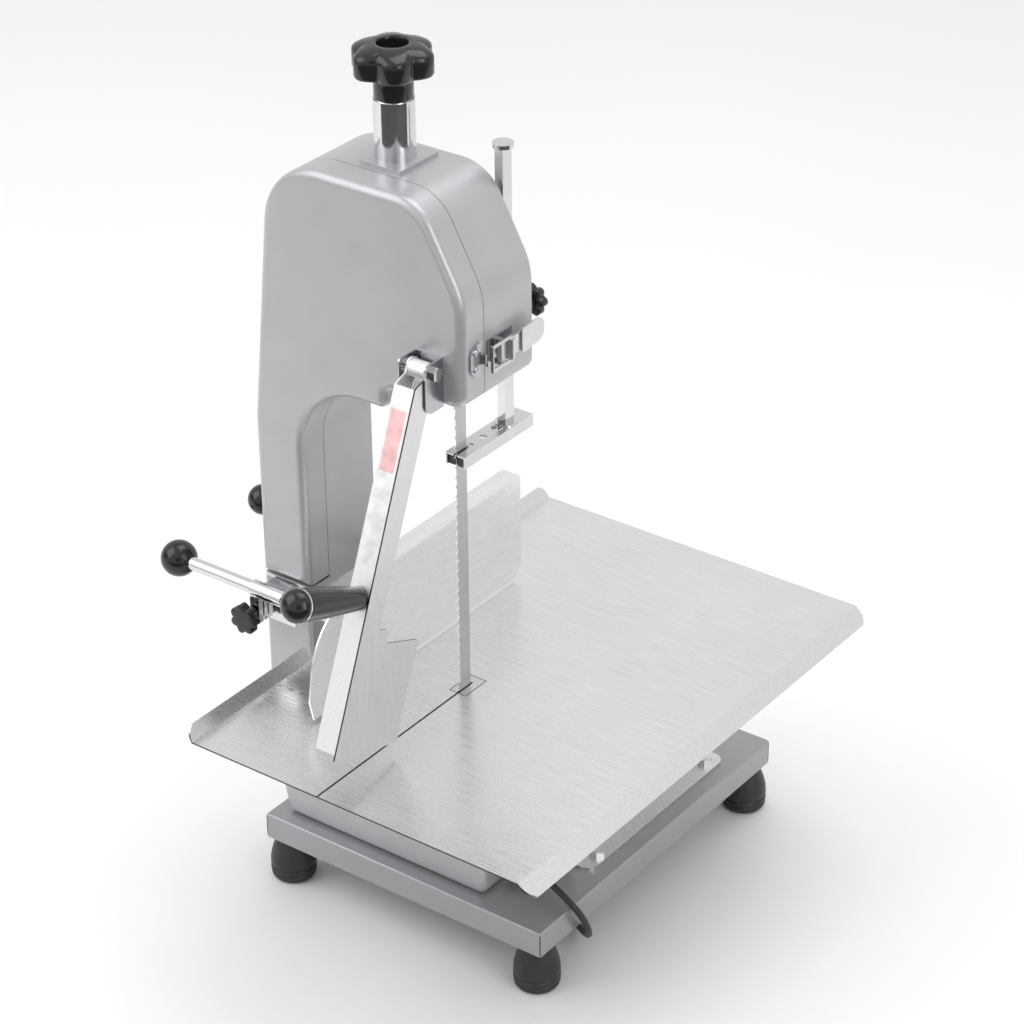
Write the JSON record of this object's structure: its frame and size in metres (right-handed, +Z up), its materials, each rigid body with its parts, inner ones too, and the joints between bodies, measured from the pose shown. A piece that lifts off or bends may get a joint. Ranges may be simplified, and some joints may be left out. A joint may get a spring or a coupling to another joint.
{
  "type": "bone saw",
  "caption": "Table-top bone saw: silver casing with hinged door, toothed band blade, stainless table, pusher, gauge fence, guide post and tension wheel.",
  "frame": {"origin": "middle of the whole machine's floor area, at the floor under the rubber feet", "axes": "+X to the operator's right, +Y away from the operator, +Z up"},
  "size_m": [0.5055, 0.5448, 0.8155],
  "materials": {
    "silver_paint": "satin, fine hammered silver-grey enamel",
    "brushed_stainless": "brushed",
    "bright_steel": "polished",
    "blade_steel": "ground",
    "black_plastic": "glossy",
    "black_rubber": "matte",
    "cast_wheel": "machined",
    "motor_paint": "satin",
    "guide_block": "matte",
    "button_green": "glossy",
    "button_red": "glossy"
  },
  "bodies": {
    "root": {"base_tray": "silver_paint", "rubber_feet": "black_rubber", "foot_studs": "bright_steel", "rear_casing": "silver_paint", "lower_cover": "silver_paint", "hinge_leaves": "bright_steel", "tension_pad": "silver_paint", "tension_sleeve": "bright_steel", "carriage_rails": "brushed_stainless", "work_table": "brushed_stainless", "blade_insert": "brushed_stainless", "table_support": "brushed_stainless", "table_pads": "silver_paint", "motor_housing": "motor_paint", "motor_bolts": "bright_steel", "lower_bearing": "bright_steel", "switch_box": "black_plastic", "latch_base": "brushed_stainless", "saw_blade": "blade_steel", "rod_sleeves": "bright_steel", "side_handle_stem": "bright_steel", "side_handle_ball": "black_plastic", "post_clamp": "brushed_stainless", "blade_scrapers": "guide_block", "cord_gland": "black_plastic", "cord_tube": "black_rubber", "cord_coil": "black_rubber", "plug": "black_plastic"},
    "door": {"door_shell": "silver_paint", "door_hinge_leaves": "bright_steel", "latch_keeper": "brushed_stainless", "pusher_bracket": "brushed_stainless", "pivot_bolt": "bright_steel"},
    "pusher": {"pusher_arm": "brushed_stainless", "pusher_plate": "brushed_stainless", "pusher_grip": "black_plastic", "grip_ring": "bright_steel"},
    "latch_lever": {"latch_lever": "brushed_stainless"},
    "latch_loop": {"latch_loop": "bright_steel"},
    "carriage": {"upper_carriage": "brushed_stainless", "upper_axle": "bright_steel"},
    "upper_wheel": {"upper_wheel": "cast_wheel"},
    "drive": {"lower_wheel": "cast_wheel", "lower_shaft": "bright_steel", "motor_rotor": "motor_paint"},
    "tension_wheel": {"tension_wheel": "black_plastic", "tension_screw": "bright_steel"},
    "fence": {"fence_plate": "brushed_stainless", "fence_rods": "bright_steel", "fence_ball": "black_plastic"},
    "fence_knob": {"fence_clamp_knob": "black_plastic", "fence_clamp_screw": "bright_steel"},
    "guide": {"guide_post": "bright_steel", "guide_arm": "brushed_stainless", "blade_side_guides": "guide_block", "blade_back_roller": "bright_steel"},
    "post_knob": {"post_clamp_knob": "black_plastic", "post_clamp_screw": "bright_steel"},
    "start_button": {"start_button": "button_green"},
    "stop_button": {"stop_button": "button_red"}
  },
  "joints": [
    {"name": "door_swing", "type": "hinge", "parent": "root", "child": "door", "pos_m": [-0.15875, -0.05553, 0.4], "axis": [0, 0, -1], "range_deg": [0, 75]},
    {"name": "pusher_swing", "type": "hinge", "parent": "door", "child": "pusher", "pos_m": [0.03775, -0.09553, 0.578], "axis": [1, 0, 0], "range_deg": [-45, 24]},
    {"name": "latch_lever_swing", "type": "hinge", "parent": "root", "child": "latch_lever", "pos_m": [0.07575, -0.04253, 0.584], "axis": [0, 0, -1], "range_deg": [0, 80]},
    {"name": "latch_loop_turn", "type": "hinge", "parent": "latch_lever", "child": "latch_loop", "pos_m": [0.08035, -0.03353, 0.584], "axis": [0, 0, -1], "range_deg": [-80, 0]},
    {"name": "tension_slide", "type": "slide", "parent": "root", "child": "carriage", "axis": [0, 0, 1], "range_m": [-0.012, 0]},
    {"name": "tension_wheel_turn", "type": "hinge", "parent": "root", "child": "tension_wheel", "pos_m": [-0.03925, -0.02553, 0.79], "axis": [0, 0, 1], "range_deg": [-2470, 0]},
    {"name": "lower_wheel_turn", "type": "hinge", "parent": "root", "child": "drive", "pos_m": [-0.03925, -0.04553, 0.165], "axis": [0, 1, 0], "continuous": true},
    {"name": "upper_wheel_turn", "type": "hinge", "parent": "carriage", "child": "upper_wheel", "pos_m": [-0.03925, -0.04553, 0.6294], "axis": [0, 1, 0], "continuous": true},
    {"name": "fence_slide", "type": "slide", "parent": "root", "child": "fence", "axis": [-1, 0, 0], "range_m": [-0.055, 0.045]},
    {"name": "fence_knob_turn", "type": "hinge", "parent": "root", "child": "fence_knob", "pos_m": [-0.14625, -0.11053, 0.2893], "axis": [0, -1, 0], "range_deg": [-90, 0]},
    {"name": "guide_slide", "type": "slide", "parent": "root", "child": "guide", "axis": [0, 0, 1], "range_m": [-0.118, 0.055]},
    {"name": "post_knob_turn", "type": "hinge", "parent": "root", "child": "post_knob", "pos_m": [0.03575, 0.04947, 0.578], "axis": [0, 1, 0], "range_deg": [-90, 0]},
    {"name": "start_button_press", "type": "slide", "parent": "root", "child": "start_button", "axis": [1, 0, 0], "range_m": [0, 0.004], "stiffness_N_per_m": 400},
    {"name": "stop_button_press", "type": "slide", "parent": "root", "child": "stop_button", "axis": [1, 0, 0], "range_m": [0, 0.004], "stiffness_N_per_m": 400}
  ],
  "couplings": [
    {"joint": "tension_wheel_turn", "follows": "tension_slide", "rad_per_m": 3590.4},
    {"joint": "upper_wheel_turn", "follows": "lower_wheel_turn", "ratio": 1},
    {"joint": "latch_loop_turn", "follows": "latch_lever_swing", "ratio": -1}
  ]
}
